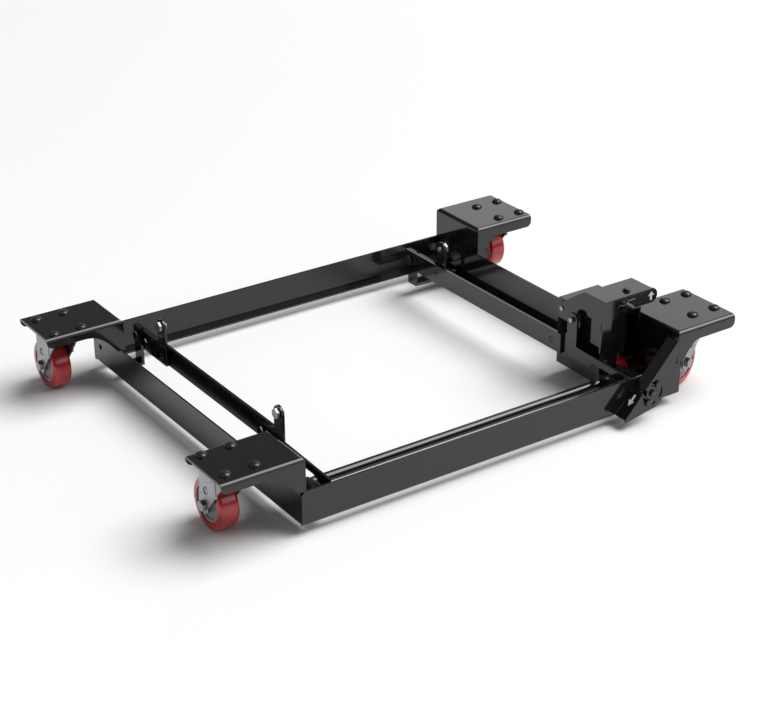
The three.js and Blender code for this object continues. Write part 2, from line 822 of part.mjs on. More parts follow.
// Shoulder bolt that an arm turns on.
function pivotBolt() {
  const outer = bayLeft - armWall - 2 * seat - postWall;
  const inner = bayLeft + seat;
  return joined(
    barX(pivotRadius, outer - seat, inner + seat, pivotY, pivotZ, 20),
    barX(shoulderHeadRadius, outer - shoulderHeadHeight, outer, pivotY, pivotZ, 6),
    barX(shoulderHeadRadius, inner, inner + shoulderHeadHeight, pivotY, pivotZ, 6),
  );
}

// Lift shaft across the front with a crank under each arm and the two cheeks of the jack lever, welded up.
function liftShaft() {
  const boss = shaftRadius + crankBossWall;
  const swing = crankSwing * degree;
  const tipY = shaftSetback - crankReach * Math.cos(swing);
  const crank = linkShape(shaftSetback, shaftHeight, boss, tipY, shaftHeight + crankRise, crankTipRadius);
  const noseLeft = bayLeft - armWall - seat - earWall / 2;
  const noseRight = bayLeft + bayRight - noseLeft;
  const cranks = [noseLeft, noseRight].map((x) => plateYZ(crank, x - crankWall / 2, x + crankWall / 2, 8));
  const lever = linkShape(shaftSetback, shaftHeight, boss, jackY, rollerHeight, leverRadius);
  const inside = rollerWidth / 2 + seat;
  const cheeks = [-1, 1].map((side) => {
    const near = jackX + side * inside;
    const far = near + side * leverWall;
    return plateYZ(lever, Math.min(near, far), Math.max(near, far), 8);
  });
  const right = jackX + inside + leverWall + seat;
  const bar = barX(shaftRadius, leftBearingInset - overrun, right, shaftSetback, shaftHeight, 20);
  const pinHole = barX(rollerPinRadius + runningGap, housingLeft, right + overrun, jackY, rollerHeight, 14);
  return cut(joined(bar, ...cranks, ...cheeks), pinHole);
}

// Bearing block of the lift shaft: bolted behind the front rail, on its lip.
function shaftBearing(x) {
  const back = railWall + seat;
  const foot = groundClearance + railWall + seat;
  const shape = new THREE.Shape();
  shape.moveTo(back, foot);
  shape.lineTo(shaftSetback, shaftHeight - bearingRadius);
  shape.absarc(shaftSetback, shaftHeight, bearingRadius, -quarter, quarter, false);
  shape.lineTo(back, shaftHeight + bearingRadius);
  const end = x + bearingWall;
  const hole = barX(shaftRadius + runningGap, x - overrun, end + overrun, shaftSetback, shaftHeight, 20);
  return cut(plateYZ(shape, x, end, 8), hole);
}

// Polyurethane roller that the ram presses on, with rounded edges.
function jackRoller() {
  const half = rollerWidth / 2;
  const bore = rollerPinRadius + runningGap;
  const edge = treadShoulder / 2;
  const profile = [
    [bore, -half],
    [rollerRadius - edge, -half],
    [rollerRadius, -half + edge],
    [rollerRadius, half - edge],
    [rollerRadius - edge, half],
    [bore, half],
    [bore, -half],
  ];
  const roller = new THREE.LatheGeometry(profile.map(([r, y]) => new THREE.Vector2(r, y)), 24);
  return roller.rotateZ(quarter).translate(jackX, jackY, rollerHeight);
}

function rollerPin() {
  const reach = rollerWidth / 2 + seat + leverWall;
  return barX(rollerPinRadius, jackX - reach - seat, jackX + reach + seat, jackY, rollerHeight, 14);
}

// Pump housing: folded plates round the jack, open at the front and below for the lever, with the bolts
// that hang the jack from its top.
function pumpHousing() {
  const foot = groundClearance + railWall + seat;
  const left = block(housingLeft, housingLeft + housingWall, housingFront, housingBack, foot, housingTop);
  const rightShape = outline([
    [housingFront, housingTop],
    [housingFront, housingOpenTop],
    [housingLegFront, housingOpenTop],
    [housingLegFront, foot],
    [housingBack, foot],
    [housingBack, housingTop],
  ]);
  const right = plateYZ(rightShape, housingRight - housingWall, housingRight);
  const back = block(housingLeft, housingRight, housingBack - housingWall, housingBack, foot, housingTop);
  const under = housingTop - housingWall;
  const top = block(housingLeft, housingRight, housingFront, housingBack, under, housingTop);
  const railSide = frameLength - railWall - seat;
  const base = block(housingLeft, railSide, housingLegFront, housingBack, foot, foot + housingWall);
  const panelShape = outline([
    [housingLeft, foot],
    [housingLeft + housingPanelFoot, foot],
    [housingLeft + housingPanelFoot, housingOpenTop],
    [housingLeft + housingPanelWidth, housingOpenTop],
    [housingLeft + housingPanelWidth, housingTop - housingPanelCorner],
    [housingLeft + housingPanelWidth - housingPanelCorner, housingTop],
    [housingLeft, housingTop],
  ]);
  const panel = plateXZ(panelShape, housingFront, housingFront + housingWall);
  const heads = housingBoltPlaces().map(([x, y]) => (
    barZ(hexRadius, housingTop - seat, housingTop + hexHeight, x, y, 6)));
  return cut(
    joined(left, right, back, top, base, panel, ...heads),
    barZ(plungerHole, under - overrun, housingTop + overrun, jackX, jackY, 16),
    barY(releaseShaftRadius + seat, housingFront - overrun, housingFront + housingWall + overrun,
      lowerPivotX, lowerPivotHeight, 16),
    barX(pedalPinRadius + runningGap, housingLeft - overrun, housingRight + overrun, pedalPivotSetback,
      pedalPivotHeight, 16),
  );
}

function housingBoltPlaces() {
  const reach = jackFlange - hexRadius;
  return [[jackX - reach, jackY - reach / 2], [jackX - reach, jackY + reach / 2]];
}

// Jack body: cylinder with a top flange, a valve block on its left, and its two bores.
function jackBody() {
  const top = housingTop - housingWall - seat;
  const body = barZ(jackRadius, jackBottom, top, jackX, jackY, 28);
  const flange = block(jackX - jackFlange, jackX + jackFlangeRight, jackY - jackFlange / 2 - jackFlangeWall,
    jackY + jackFlange / 2 + jackFlangeWall, top - jackFlangeWall, top);
  const valveTop = jackBottom + valveBlockHeight;
  const valveHalf = valveBlockWidth / 2;
  const [valveFront, valveBack] = [jackY - valveHalf, jackY + valveHalf];
  const valve = block(jackX - valveBlockReach, jackX, valveFront, valveBack, jackBottom, valveTop);
  return cut(
    joined(body, flange, valve),
    barZ(ramRadius + runningGap, jackBottom - overrun, ramBoreTop, jackX, jackY, 20),
    barZ(plungerRadius + runningGap, plungerBoreBottom, top + overrun, jackX, jackY, 16),
    barZ(stemRadius + runningGap, jackBottom - overrun, valveTop - overrun, stemX(), jackY, 12),
  );
}

function stemX() {
  return lowerPivotX + fingerReach;
}

function jackRam() {
  const foot = rollerHeight + rollerRadius + seat;
  return barZ(ramRadius, foot, foot + ramLength, jackX, jackY, 20);
}

// Pump plunger with a chamfered top that the pedal rocks on.
function pumpPlunger() {
  const top = padTop - padWall - seat;
  const profile = [
    [0, top - plungerLength],
    [plungerRadius, top - plungerLength],
    [plungerRadius, top - plungerChamfer],
    [plungerTipRadius, top],
    [0, top],
  ];
  const plunger = new THREE.LatheGeometry(profile.map(([r, z]) => new THREE.Vector2(r, z)), 16);
  return plunger.rotateX(quarter).translate(jackX, jackY, 0);
}

// Raise pedal: foot pad with a front lip, a rounded tab, a flared skirt and two cheeks back to its pivot.
function raisePedal() {
  const padRight = padLeft + padWidth;
  const padBack = padFront + padDepth;
  const pad = block(padLeft, padRight, padFront, padBack, padTop - padWall, padTop);
  const lip = block(padLeft, padRight, padFront, padFront + padWall, padTop - lipDrop, padTop);
  const tabShape = new THREE.Shape();
  const tabRight = padRight + tabReach;
  const tabRadius = tabDrop / 2;
  tabShape.moveTo(padRight - tabWidth + tabReach, padTop - tabDrop);
  tabShape.lineTo(tabRight - tabRadius, padTop - tabDrop);
  tabShape.absarc(tabRight - tabRadius, padTop - tabRadius, tabRadius, -quarter, quarter, false);
  tabShape.lineTo(padRight - tabWidth + tabReach, padTop);
  const tab = plateXZ(tabShape, padFront, padFront + padWall, 10);
  const skirtShape = new THREE.Shape();
  skirtShape.moveTo(padLeft + padCorner, padTop);
  skirtShape.absarc(padLeft + padCorner, padTop - padCorner, padCorner, quarter, Math.PI, false);
  skirtShape.lineTo(padLeft - skirtFlare, padTop - skirtDrop);
  skirtShape.lineTo(padLeft + skirtWidth, padTop - skirtDrop);
  [skirtCutBottom, skirtCutTip, skirtCutTop].forEach(([x, drop]) => {
    skirtShape.lineTo(padLeft + x, padTop - drop);
  });
  skirtShape.lineTo(padLeft + skirtCutTop[0], padTop);
  const skirt = plateXZ(skirtShape, padFront, padFront + padWall, 6);
  const leftCheek = plateYZ(cheekShape(cheekDrop), padLeft, padLeft + padWall, 8);
  const rightX = housingRight + 2 * seat;
  const rightCheek = plateYZ(cheekShape(rightCheekDrop), rightX, rightX + padWall, 8);
  const reach = frameLength;
  return cut(
    joined(pad, lip, tab, skirt, leftCheek, rightCheek),
    barX(pedalPinRadius + runningGap, 0, reach, pedalPivotSetback, pedalPivotHeight, 16),
  );
}

function cheekShape(drop) {
  const shape = new THREE.Shape();
  const padBack = padFront + padDepth;
  const radius = cheekEndRadius;
  shape.moveTo(padFront, padTop);
  shape.lineTo(padFront, padTop - drop);
  shape.lineTo(padBack, padTop - drop);
  shape.lineTo(pedalPivotSetback - radius, pedalPivotHeight - radius);
  shape.absarc(pedalPivotSetback, pedalPivotHeight, radius, -quarter, quarter, false);
  shape.lineTo(padBack, padTop);
  return shape;
}

function pedalPin() {
  const x0 = padLeft - pinHead;
  const x1 = housingRight + 2 * seat + padWall + pinHead;
  return barX(pedalPinRadius, x0, x1, pedalPivotSetback, pedalPivotHeight, 16);
}

// Return spring round the plunger: one unbroken wire in round curls whose ends run straight up and down.
function pedalSpring() {
  const bottom = housingTop + seat;
  const top = padTop - padWall - seat;
  const steps = springCurls * springSteps;
  const rise = top - bottom - 4 * springWire;
  const path = [[springRadius, 0, bottom], [springRadius, 0, bottom + springWire]];
  for (let step = 1; step < steps; step += 1) {
    const angle = 2 * Math.PI * step / springSteps;
    path.push([
      springRadius * Math.cos(angle),
      springRadius * Math.sin(angle),
      bottom + 2 * springWire + rise * step / steps,
    ]);
  }
  path.push([springRadius, 0, top - springWire], [springRadius, 0, top]);
  const points = path.map(([x, y, z]) => new THREE.Vector3(x, y, z));
  reportLeastGap(points);
  return wireAlong(points, springWire / 2, springSides).translate(jackX, jackY, 0);
}

// Prints the least distance between turns of the wire, measured between points over half a turn apart.
function reportLeastGap(points) {
  let least = Infinity;
  points.forEach((a, i) => points.slice(i + springSteps / 2).forEach((b) => {
    least = Math.min(least, a.distanceTo(b) - springWire);
  }));
  console.log(`pedal spring: least gap between turns ${least.toFixed(2)} mm`);
}

// A closed wire: one ring of points square to the path at each step, and a fan at each end.
function wireAlong(points, radius, sides) {
  const vertices = [];
  const faces = [];
  points.forEach((point, i) => {
    const before = points[Math.max(i - 1, 0)];
    const after = points[Math.min(i + 1, points.length - 1)];
    const along = new THREE.Vector3().subVectors(after, before).normalize();
    const out = new THREE.Vector3(point.x, point.y, 0).normalize();
    const across = new THREE.Vector3().crossVectors(along, out).normalize();
    const outward = new THREE.Vector3().crossVectors(across, along).normalize();
    for (let side = 0; side < sides; side += 1) {
      const angle = 2 * Math.PI * side / sides;
      const place = point.clone().addScaledVector(outward, radius * Math.cos(angle));
      place.addScaledVector(across, radius * Math.sin(angle));
      vertices.push(place.x, place.y, place.z);
    }
  });
  for (let ring = 0; ring < points.length - 1; ring += 1) {
    for (let side = 0; side < sides; side += 1) {
      const a = ring * sides + side;
      const b = ring * sides + (side + 1) % sides;
      faces.push(a, b, b + sides, a, b + sides, a + sides);
    }
  }
  const last = (points.length - 1) * sides;
  for (let side = 1; side < sides - 1; side += 1) {
    faces.push(0, side + 1, side);
    faces.push(last, last + side, last + side + 1);
  }
  const geometry = new THREE.BufferGeometry();
  geometry.setAttribute('position', new THREE.Float32BufferAttribute(vertices, 3));
  geometry.setIndex(faces);
  return geometry;
}

// Lower pedal: a plate in front of the rail with two arc slots, its tread folded back along the long edge.
function lowerPedal() {
  const y0 = -lowerStandoff - lowerWall;
  const place = ([x, z]) => [lowerPivotX + x, lowerPivotHeight + z];
  const plate = plateXZ(outline(lowerOutline.map(place)), y0, -lowerStandoff);
  const [foldLow, foldTop] = [lowerOutline[0], lowerOutline[lowerOutline.length - 1]];
  const length = Math.hypot(foldTop[0] - foldLow[0], foldTop[1] - foldLow[1]);
  const across = [-(foldTop[1] - foldLow[1]) / length, (foldTop[0] - foldLow[0]) / length];
  const inset = ([x, z]) => place([x - across[0] * lowerWall, z - across[1] * lowerWall]);
  const tread = plateXZ(
    outline([place(foldLow), inset(foldLow), inset(foldTop), place(foldTop)]),
    y0 + lowerWall / 2,
    y0 + lowerWall + lowerFlange,
  );
  const boss = barY(lowerBossRadius, -lowerStandoff - seat, -seat, lowerPivotX, lowerPivotHeight, 20);
  const slots = slotStarts.map((start) => (
    plateXZ(slotShape(start), y0 - overrun, -lowerStandoff + overrun, 10)));
  const bore = releaseShaftRadius + runningGap;
  const shaftHole = barY(bore, y0 - overrun, overrun, lowerPivotX, lowerPivotHeight, 16);
  return cut(joined(plate, tread, boss), shaftHole, ...slots);
}

// Curved slot round the pedal's pivot, with round ends.
function slotShape(start) {
  const from = start * degree;
  const to = (start + slotSweep) * degree;
  const half = slotWidth / 2;
  const shape = new THREE.Shape();
  const end = (angle) => [
    lowerPivotX + stopRadius * Math.cos(angle),
    lowerPivotHeight + stopRadius * Math.sin(angle),
  ];
  shape.absarc(lowerPivotX, lowerPivotHeight, stopRadius + half, from, to, false);
  shape.absarc(...end(to), half, to, to + Math.PI, false);
  shape.absarc(lowerPivotX, lowerPivotHeight, stopRadius - half, to, from, true);
  shape.absarc(...end(from), half, from + Math.PI, from + Math.PI * 2, false);
  return shape;
}

// Release shaft through the front rail, with a button head outside and a finger at the valve stem.
function releaseShaft() {
  const front = -lowerStandoff - lowerWall - seat;
  const back = jackY + fingerWall / 2;
  const bar = barY(releaseShaftRadius, front - buttonHeight / 2, back, lowerPivotX, lowerPivotHeight, 16);
  const head = barY(buttonRadius, front - buttonHeight, front, lowerPivotX, lowerPivotHeight, 16);
  const tipHeight = jackBottom - stemLength / 4 - fingerRadius - seat;
  const fingerShape = linkShape(lowerPivotX, lowerPivotHeight, releaseShaftRadius + crankBossWall,
    stemX(), tipHeight, fingerRadius);
  const finger = plateXZ(fingerShape, back - fingerWall, back, 8);
  return joined(bar, head, finger);
}

function releaseStem() {
  const foot = jackBottom - stemLength / 4;
  return barZ(stemRadius, foot, foot + stemLength - stemLength / 4, stemX(), jackY, 12);
}

// Stop screw in one of the pedal's slots: a button head on a slim sleeve fixed in the front rail.
function stopScrew([x, z]) {
  const front = -lowerStandoff - lowerWall - seat;
  return joined(
    barY(buttonRadius, front - buttonHeight, front, x, z, 16),
    barY(stopSleeveRadius, front - buttonHeight / 2, railWall, x, z, 12),
  );
}

function addAll() {
  addPart('front_rail', frontRail(), 'powder');
  addPart('rear_rail', mirrored(crossRail(), 1, frameDepth / 2), 'powder');
  addPart('left_rail', leftRail(), 'powder');
  addPart('right_rail', mirrored(leftRail(), 0, frameLength / 2), 'powder');

  const middleX = frameLength / 2;
  const middleY = frameDepth / 2;
  addPart('front_left_bracket', casterBracket(leftBracket), 'powder');
  addPart('rear_left_bracket', mirrored(casterBracket(leftBracket), 1, middleY), 'powder');
  const frontRight = mirrored(casterBracket(rightBracket), 0, middleX);
  addPart('front_right_bracket', frontRight, 'powder');
  addPart('rear_right_bracket', mirrored(frontRight, 1, middleY), 'powder');

  const leftX = -leftBracketReach + leftCasterInset;
  const rightX = frameLength + rightBracketReach - rightCasterInset;
  const corners = [
    ['front_left', leftX, leftCasterSetback, sideTurn, 0],
    ['rear_left', leftX, frameDepth - leftCasterSetback, sideTurn, 0],
    ['front_right', rightX, rightCasterSetback, frontRightTurn, -rightBoltShift],
    ['rear_right', rightX, frameDepth - rightCasterSetback, sideTurn, -rightBoltShift],
  ];
  corners.forEach((corner) => addCaster(...corner));

  const bayMiddle = (bayLeft + bayRight) / 2;
  addPart('left_post', leftPost(), 'powder');
  addPart('right_post', rightPost(), 'powder');
  addPart('left_pivot_bolt', pivotBolt(), 'zinc');
  addPart('right_pivot_bolt', mirrored(pivotBolt(), 0, bayMiddle), 'zinc');
  addPart('left_lift_arm', leftArm(), 'powder');
  addPart('right_lift_arm', mirrored(leftArm(), 0, bayMiddle), 'powder');
  const [frontBolt, ...rearBolts] = armBoltPlaces();
  const frontEar = earPlate(frontEarShape(), frontEarCentre, [frontBolt]);
  const rearEar = earPlate(rearEarShape(), rearEarCentre, rearBolts);
  addPart('left_front_ear', frontEar, 'powder');
  addPart('left_rear_ear', rearEar, 'powder');
  addPart('right_front_ear', mirrored(frontEar, 0, bayMiddle), 'powder');
  addPart('right_rear_ear', mirrored(rearEar, 0, bayMiddle), 'powder');
  [['front', frontEarCentre], ['rear', rearEarCentre]].forEach(([end, y]) => {
    addPart(`left_${end}_ear_bolt`, machineBolt(y), 'zinc');
    addPart(`right_${end}_ear_bolt`, mirrored(machineBolt(y), 0, bayMiddle), 'zinc');
  });

  addPart('lift_shaft', liftShaft(), 'powder');
  addPart('left_shaft_bearing', shaftBearing(leftBearingInset), 'powder');
  addPart('right_shaft_bearing', shaftBearing(frameLength - rightBearingInset), 'powder');
  addPart('jack_roller', jackRoller(), 'tread');
  addPart('roller_pin', rollerPin(), 'steel');

  addPart('pump_housing', pumpHousing(), 'powder');
  addPart('jack_body', jackBody(), 'powder');
  addPart('jack_ram', jackRam(), 'steel');
  addPart('pump_plunger', pumpPlunger(), 'steel');
  addPart('raise_pedal', raisePedal(), 'powder');
  addPart('pedal_pin', pedalPin(), 'zinc');
  addPart('pedal_spring', pedalSpring(), 'steel');
  addPart('lower_pedal', lowerPedal(), 'powder');
  addPart('release_shaft', releaseShaft(), 'steel');
  addPart('release_stem', releaseStem(), 'steel');
  stopPlaces().forEach((place, i) => addPart(`stop_screw_${i + 1}`, stopScrew(place), 'blackBolt'));
}

addAll();

// The origin is the middle of the whole base on the floor, with its rear wheels trailing straight back.
group.position.set(-(outerLeft + outerRight) / 2, -(frameDepth + rearReach - frontReach) / 2, 0);

export default group;
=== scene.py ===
"""Looks for a wheeled lifting base in gloss black powder coat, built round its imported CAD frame.

Lengths are in metres in the frame's own axes: +X right, +Y from the front rail to the rear rail, +Z up.
"""
import json
import math

import bpy
import numpy as np
from mathutils import Matrix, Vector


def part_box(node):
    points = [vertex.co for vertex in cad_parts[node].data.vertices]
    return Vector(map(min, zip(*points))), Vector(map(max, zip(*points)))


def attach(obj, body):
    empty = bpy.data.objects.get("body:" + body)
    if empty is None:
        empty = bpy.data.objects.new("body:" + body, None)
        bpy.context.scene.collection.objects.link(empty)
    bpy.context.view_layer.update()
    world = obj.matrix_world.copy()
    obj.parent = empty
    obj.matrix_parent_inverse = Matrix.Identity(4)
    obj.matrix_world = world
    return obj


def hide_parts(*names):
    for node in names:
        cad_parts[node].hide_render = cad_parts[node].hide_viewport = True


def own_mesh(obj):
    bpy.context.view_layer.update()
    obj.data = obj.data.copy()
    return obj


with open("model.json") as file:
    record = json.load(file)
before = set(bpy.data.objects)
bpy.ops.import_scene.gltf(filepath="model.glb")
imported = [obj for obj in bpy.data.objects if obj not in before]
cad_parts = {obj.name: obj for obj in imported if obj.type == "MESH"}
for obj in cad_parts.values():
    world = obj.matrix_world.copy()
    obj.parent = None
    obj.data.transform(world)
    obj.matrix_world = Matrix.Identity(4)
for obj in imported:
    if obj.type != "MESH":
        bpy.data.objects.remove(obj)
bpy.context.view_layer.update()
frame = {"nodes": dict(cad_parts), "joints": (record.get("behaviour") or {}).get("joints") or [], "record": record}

MM = 0.001
CORNERS = ("front_left", "rear_left", "front_right", "rear_right")


# Places read from the frame
# Bolt heads are fused with the plates that carry them. Boxes round the heads let a look colour them apart.
HEX_HEIGHT = 5 * MM
BUTTON_HEIGHT = 3 * MM
SLIVER = 0.05 * MM
RAIL_WALL = 3 * MM
BRACKET_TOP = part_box("front_left_bracket")[1][2] + SLIVER
RACE_RADIUS = 23.3 * MM
PLATE_STACK = 7.9 * MM
PLATE_UNDERSIDE = BRACKET_TOP - PLATE_STACK
FAR = 2.0


def joint_place(name):
    """A point on the axis of a joint of the frame."""
    return next(joint["pos_m"] for joint in frame["joints"] if joint["name"] == name)


def head_boxes(node):
    """The boxes that hold the zinc bolt heads fused with a powder-coated node."""
    (x0, y0, z0), (x1, y1, z1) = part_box(node)
    if node.endswith("_bracket"):
        inner = (x1 - HEX_HEIGHT + SLIVER, FAR) if "left" in node else (-FAR, x0 + HEX_HEIGHT - SLIVER)
        return [((inner[0], -FAR, -FAR), (inner[1], FAR, FAR))]
    if node in ("left_rail", "right_rail"):
        inside, outside = RAIL_WALL + SLIVER, RAIL_WALL + HEX_HEIGHT + SLIVER
        inner = (x0 + inside, x1 + SLIVER) if node == "left_rail" else (x0 - SLIVER, x1 - inside)
        ends = ((y0 + inside, y0 + outside), (y1 - outside, y1 - inside))
        return [((inner[0], near, z0 + inside), (inner[1], far, FAR)) for near, far in ends]
    if node == "pump_housing":
        return [((-FAR, -FAR, z1 - HEX_HEIGHT + SLIVER), (FAR, FAR, FAR))]
    return []


# Shader helpers
# A Shade is one output socket of a node tree, so patterns are written as plain sums and products.

class Shade:
    """One output socket of a material's node tree, with arithmetic."""

    def __init__(self, tree, socket):
        self.tree = tree
        self.socket = socket

    def math(self, operation, other=None):
        """The result of one Math node on this value and another."""
        node = self.tree.nodes.new("ShaderNodeMath")
        node.operation = operation
        feed(self.tree, node.inputs[0], self)
        if other is not None:
            feed(self.tree, node.inputs[1], other)
        return Shade(self.tree, node.outputs[0])

    def __add__(self, other):
        return self.math("ADD", other)

    def __sub__(self, other):
        return self.math("SUBTRACT", other)

    def __mul__(self, other):
        return self.math("MULTIPLY", other)

    def between(self, low, high):
        """1 where the value lies between two limits, else 0."""
        return self.math("GREATER_THAN", low) * self.math("LESS_THAN", high)

    def ramp(self, low, high):
        """0 at low and 1 at high, smooth between."""
        node = self.tree.nodes.new("ShaderNodeMapRange")
        node.interpolation_type = "SMOOTHSTEP"
        feed(self.tree, node.inputs["Value"], self)
        node.inputs["From Min"].default_value = low
        node.inputs["From Max"].default_value = high
        return Shade(self.tree, node.outputs["Result"])


def feed(tree, socket, value):
    """Links a Shade to a socket, or sets a plain value on it."""
    if isinstance(value, Shade):
        tree.links.new(value.socket, socket)
    else:
        socket.default_value = value


def coordinates(tree):
    """The object coordinates of a surface point as one vector Shade."""
    node = tree.nodes.new("ShaderNodeTexCoord")
    return Shade(tree, node.outputs["Object"])


def split(vector):
    """The x, y and z of a vector Shade."""
    node = vector.tree.nodes.new("ShaderNodeSeparateXYZ")
    feed(vector.tree, node.inputs[0], vector)
    return [Shade(vector.tree, output) for output in node.outputs]


def stretched(vector, scale):
    """A vector Shade with each axis scaled, for patterns drawn out along one way."""
    node = vector.tree.nodes.new("ShaderNodeMapping")
    node.vector_type = "POINT"
    feed(vector.tree, node.inputs["Vector"], vector)
    node.inputs["Scale"].default_value = scale
    return Shade(vector.tree, node.outputs[0])


def noise(vector, scale, detail=3.0, roughness=0.55):
    """A noise value from 0 to 1 with that many cells to the metre."""
    node = vector.tree.nodes.new("ShaderNodeTexNoise")
    feed(vector.tree, node.inputs["Vector"], vector)
    node.inputs["Scale"].default_value = scale
    node.inputs["Detail"].default_value = detail
    node.inputs["Roughness"].default_value = roughness
    return Shade(vector.tree, node.outputs["Fac"])


def blend_value(factor, low, high):
    """A number that goes from low to high with the factor."""
    return factor * (high - low) + low


def blend_color(factor, low, high):
    """A colour that goes from low to high with the factor; each is a triple or a Shade."""
    node = factor.tree.nodes.new("ShaderNodeMix")
    node.data_type = "RGBA"
    feed(factor.tree, node.inputs["Factor"], factor)
    for socket, color in zip(node.inputs[6:8], (low, high)):
        feed(factor.tree, socket, color if isinstance(color, Shade) else (*color, 1.0))
    return Shade(factor.tree, node.outputs[2])


def bump(height, strength, distance):
    """A bumped normal from a height value."""
    node = height.tree.nodes.new("ShaderNodeBump")
    feed(height.tree, node.inputs["Height"], height)
    node.inputs["Strength"].default_value = strength
    node.inputs["Distance"].default_value = distance
    return Shade(height.tree, node.outputs[0])


def upward(tree):
    """1 on faces that look straight up, 0 on upright ones."""
    node = tree.nodes.new("ShaderNodeNewGeometry")
    return split(Shade(tree, node.outputs["Normal"]))[2].ramp(0.3, 0.95)


class Look:
    """A new material whose principled shader is reached by socket name."""

    def __init__(self, name):
        self.material = bpy.data.materials.new(name)
        self.material.use_nodes = True
        self.tree = self.material.node_tree
        self.shader = self.tree.nodes["Principled BSDF"]
        self.place = coordinates(self.tree)

    def set(self, **values):
        """Feeds sockets named in lower case with underscores, such as base_color."""
        for key, value in values.items():
            socket = self.shader.inputs[key.replace("_", " ").title()]
            if isinstance(value, tuple) and len(value) == 3:
                value = (*value, 1.0)
            feed(self.tree, socket, value)
        return self.material


# Colours and finishes
# Colours are linear. A pattern holds cells to the metre, detail and sometimes roughness, for noise().
# A gloss is a range of roughness that a pattern blends over.
BLACK = (0.0075, 0.0072, 0.0070)
DUSTED = (0.024, 0.024, 0.024)
ZINC = (0.33, 0.34, 0.36)
ZINC_WARM = (0.29, 0.285, 0.265)
STEEL = (0.47, 0.48, 0.50)
CREAM = (0.62, 0.60, 0.54)
NYLON = (0.36, 0.37, 0.39)
NYLON_DARK = (0.20, 0.205, 0.22)
RED = (0.50, 0.014, 0.018)
RED_DEEP = (0.24, 0.004, 0.008)
SCUFFED = (0.44, 0.13, 0.12)
BOLT_BLACK = (0.014, 0.014, 0.015)
ARROW_WHITE = (0.72, 0.72, 0.70)
SOCKET_DARK = (0.10, 0.10, 0.11)
SOCKET_WORN = (0.20, 0.20, 0.21)
FLOOR_WHITE = (0.87, 0.87, 0.87)

PEEL = (380.0, 2.0)
POWDER_CLOUD = (9.0, 4.0)
DUST = (55.0, 5.0, 0.7)
ZINC_CLOUD = (40.0, 5.0)
BRUSH_MARKS = (420.0, 3.0)
TURNING_MARKS = (500.0, 2.0)
NYLON_GRAIN = (900.0, 3.0)
NYLON_CLOUD = (30.0, 4.0)
TREAD_CLOUD = (60.0, 4.0)
SPECKS = (650.0, 4.0, 0.7)
SCUFFS = (120.0, 5.0, 0.65)
PLAIN_GRAIN = (300.0, 3.0)
SOCKET_GRAIN = (900.0, 2.0)

POWDER_GLOSS = (0.07, 0.15)
ZINC_GLOSS = (0.24, 0.36)
PLATE_GLOSS = (0.26, 0.40)
STEEL_GLOSS = (0.18, 0.34)
NYLON_GLOSS = (0.42, 0.58)
TREAD_GLOSS = (0.20, 0.5)
SOCKET_GLOSS = (0.2, 0.4)
BOLT_ROUGHNESS = 0.3
DOME_ROUGHNESS = 0.28
PAD_BOLT_ROUGHNESS = 0.25
INK_ROUGHNESS = 0.5
FLOOR_ROUGHNESS = 0.7
POWDER_COAT = 0.1
PLAIN_SPREAD = 0.15

EVEN = (1.0, 1.0, 1.0)
BRUSHED_UPRIGHT = (1.0, 1.0, 0.12)
RINGS_ALONG_X = (0.3, 1.0, 4.0)
RINGS_ALONG_Y = (1.0, 0.3, 4.0)


def inside_box(place, low, high):
    """1 inside a box of the frame, 0 outside."""
    parts = [value.between(a, b) for value, a, b in zip(split(place), low, high)]
    return parts[0] * parts[1] * parts[2]


def powder_look(name, bolt_boxes=()):
    """Gloss black powder coat with a fine orange peel and a trace of dust; bolts in the boxes are zinc."""
    look = Look(name)
    peel = noise(look.place, *PEEL)
    cloud = noise(look.place, *POWDER_CLOUD)
    dust = noise(look.place, *DUST).ramp(0.5, 0.85) * upward(look.tree)
    color = blend_color(dust * 0.5, BLACK, DUSTED)
    roughness = blend_value(cloud, *POWDER_GLOSS) + dust * 0.06
    metallic, coat = 0.0, POWDER_COAT
    if bolt_boxes:
        mask = inside_box(look.place, *bolt_boxes[0])
        for box in bolt_boxes[1:]:
            mask = mask.math("MAXIMUM", inside_box(look.place, *box))
        color = blend_color(mask, color, ZINC)
        roughness = roughness + mask * 0.2
        metallic = mask
        coat = blend_value(mask, coat, 0.0)
    return look.set(base_color=color, roughness=roughness, metallic=metallic, coat_weight=coat,
                    coat_roughness=0.03, normal=bump(peel, strength=0.05, distance=0.0001))


def zinc_look(name, brush=EVEN):
    """Bright zinc plate: cloudy, a little warm in patches, with fine marks along the brushed way."""
    look = Look(name)
    cloud = noise(look.place, *ZINC_CLOUD)
    streak = noise(stretched(look.place, brush), *BRUSH_MARKS)
    color = blend_color(cloud.ramp(0.4, 0.7), ZINC, ZINC_WARM)
    roughness = blend_value(cloud, *ZINC_GLOSS) + streak * 0.10
    return look.set(base_color=color, roughness=roughness, metallic=1.0,
                    normal=bump(streak, strength=0.08, distance=0.0002))


def steel_look(name):
    """Bright ground steel with fine rings of turning marks along the bar."""
    look = Look(name)
    marks = noise(stretched(look.place, RINGS_ALONG_X), *TURNING_MARKS)
    return look.set(base_color=STEEL, roughness=blend_value(marks, *STEEL_GLOSS), metallic=1.0,
                    normal=bump(marks, strength=0.06, distance=0.0001))


def release_shaft_look(name):
    """Ground steel bar with its front button head in black oxide."""
    look = Look(name)
    marks = noise(stretched(look.place, RINGS_ALONG_Y), *TURNING_MARKS)
    head = split(look.place)[1].math("LESS_THAN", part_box(name)[0][1] + BUTTON_HEIGHT)
    roughness = blend_value(marks, *STEEL_GLOSS)
    return look.set(base_color=blend_color(head, STEEL, BOLT_BLACK), roughness=roughness,
                    metallic=blend_value(head, 1.0, 0.0), normal=bump(marks, strength=0.05, distance=0.0001))


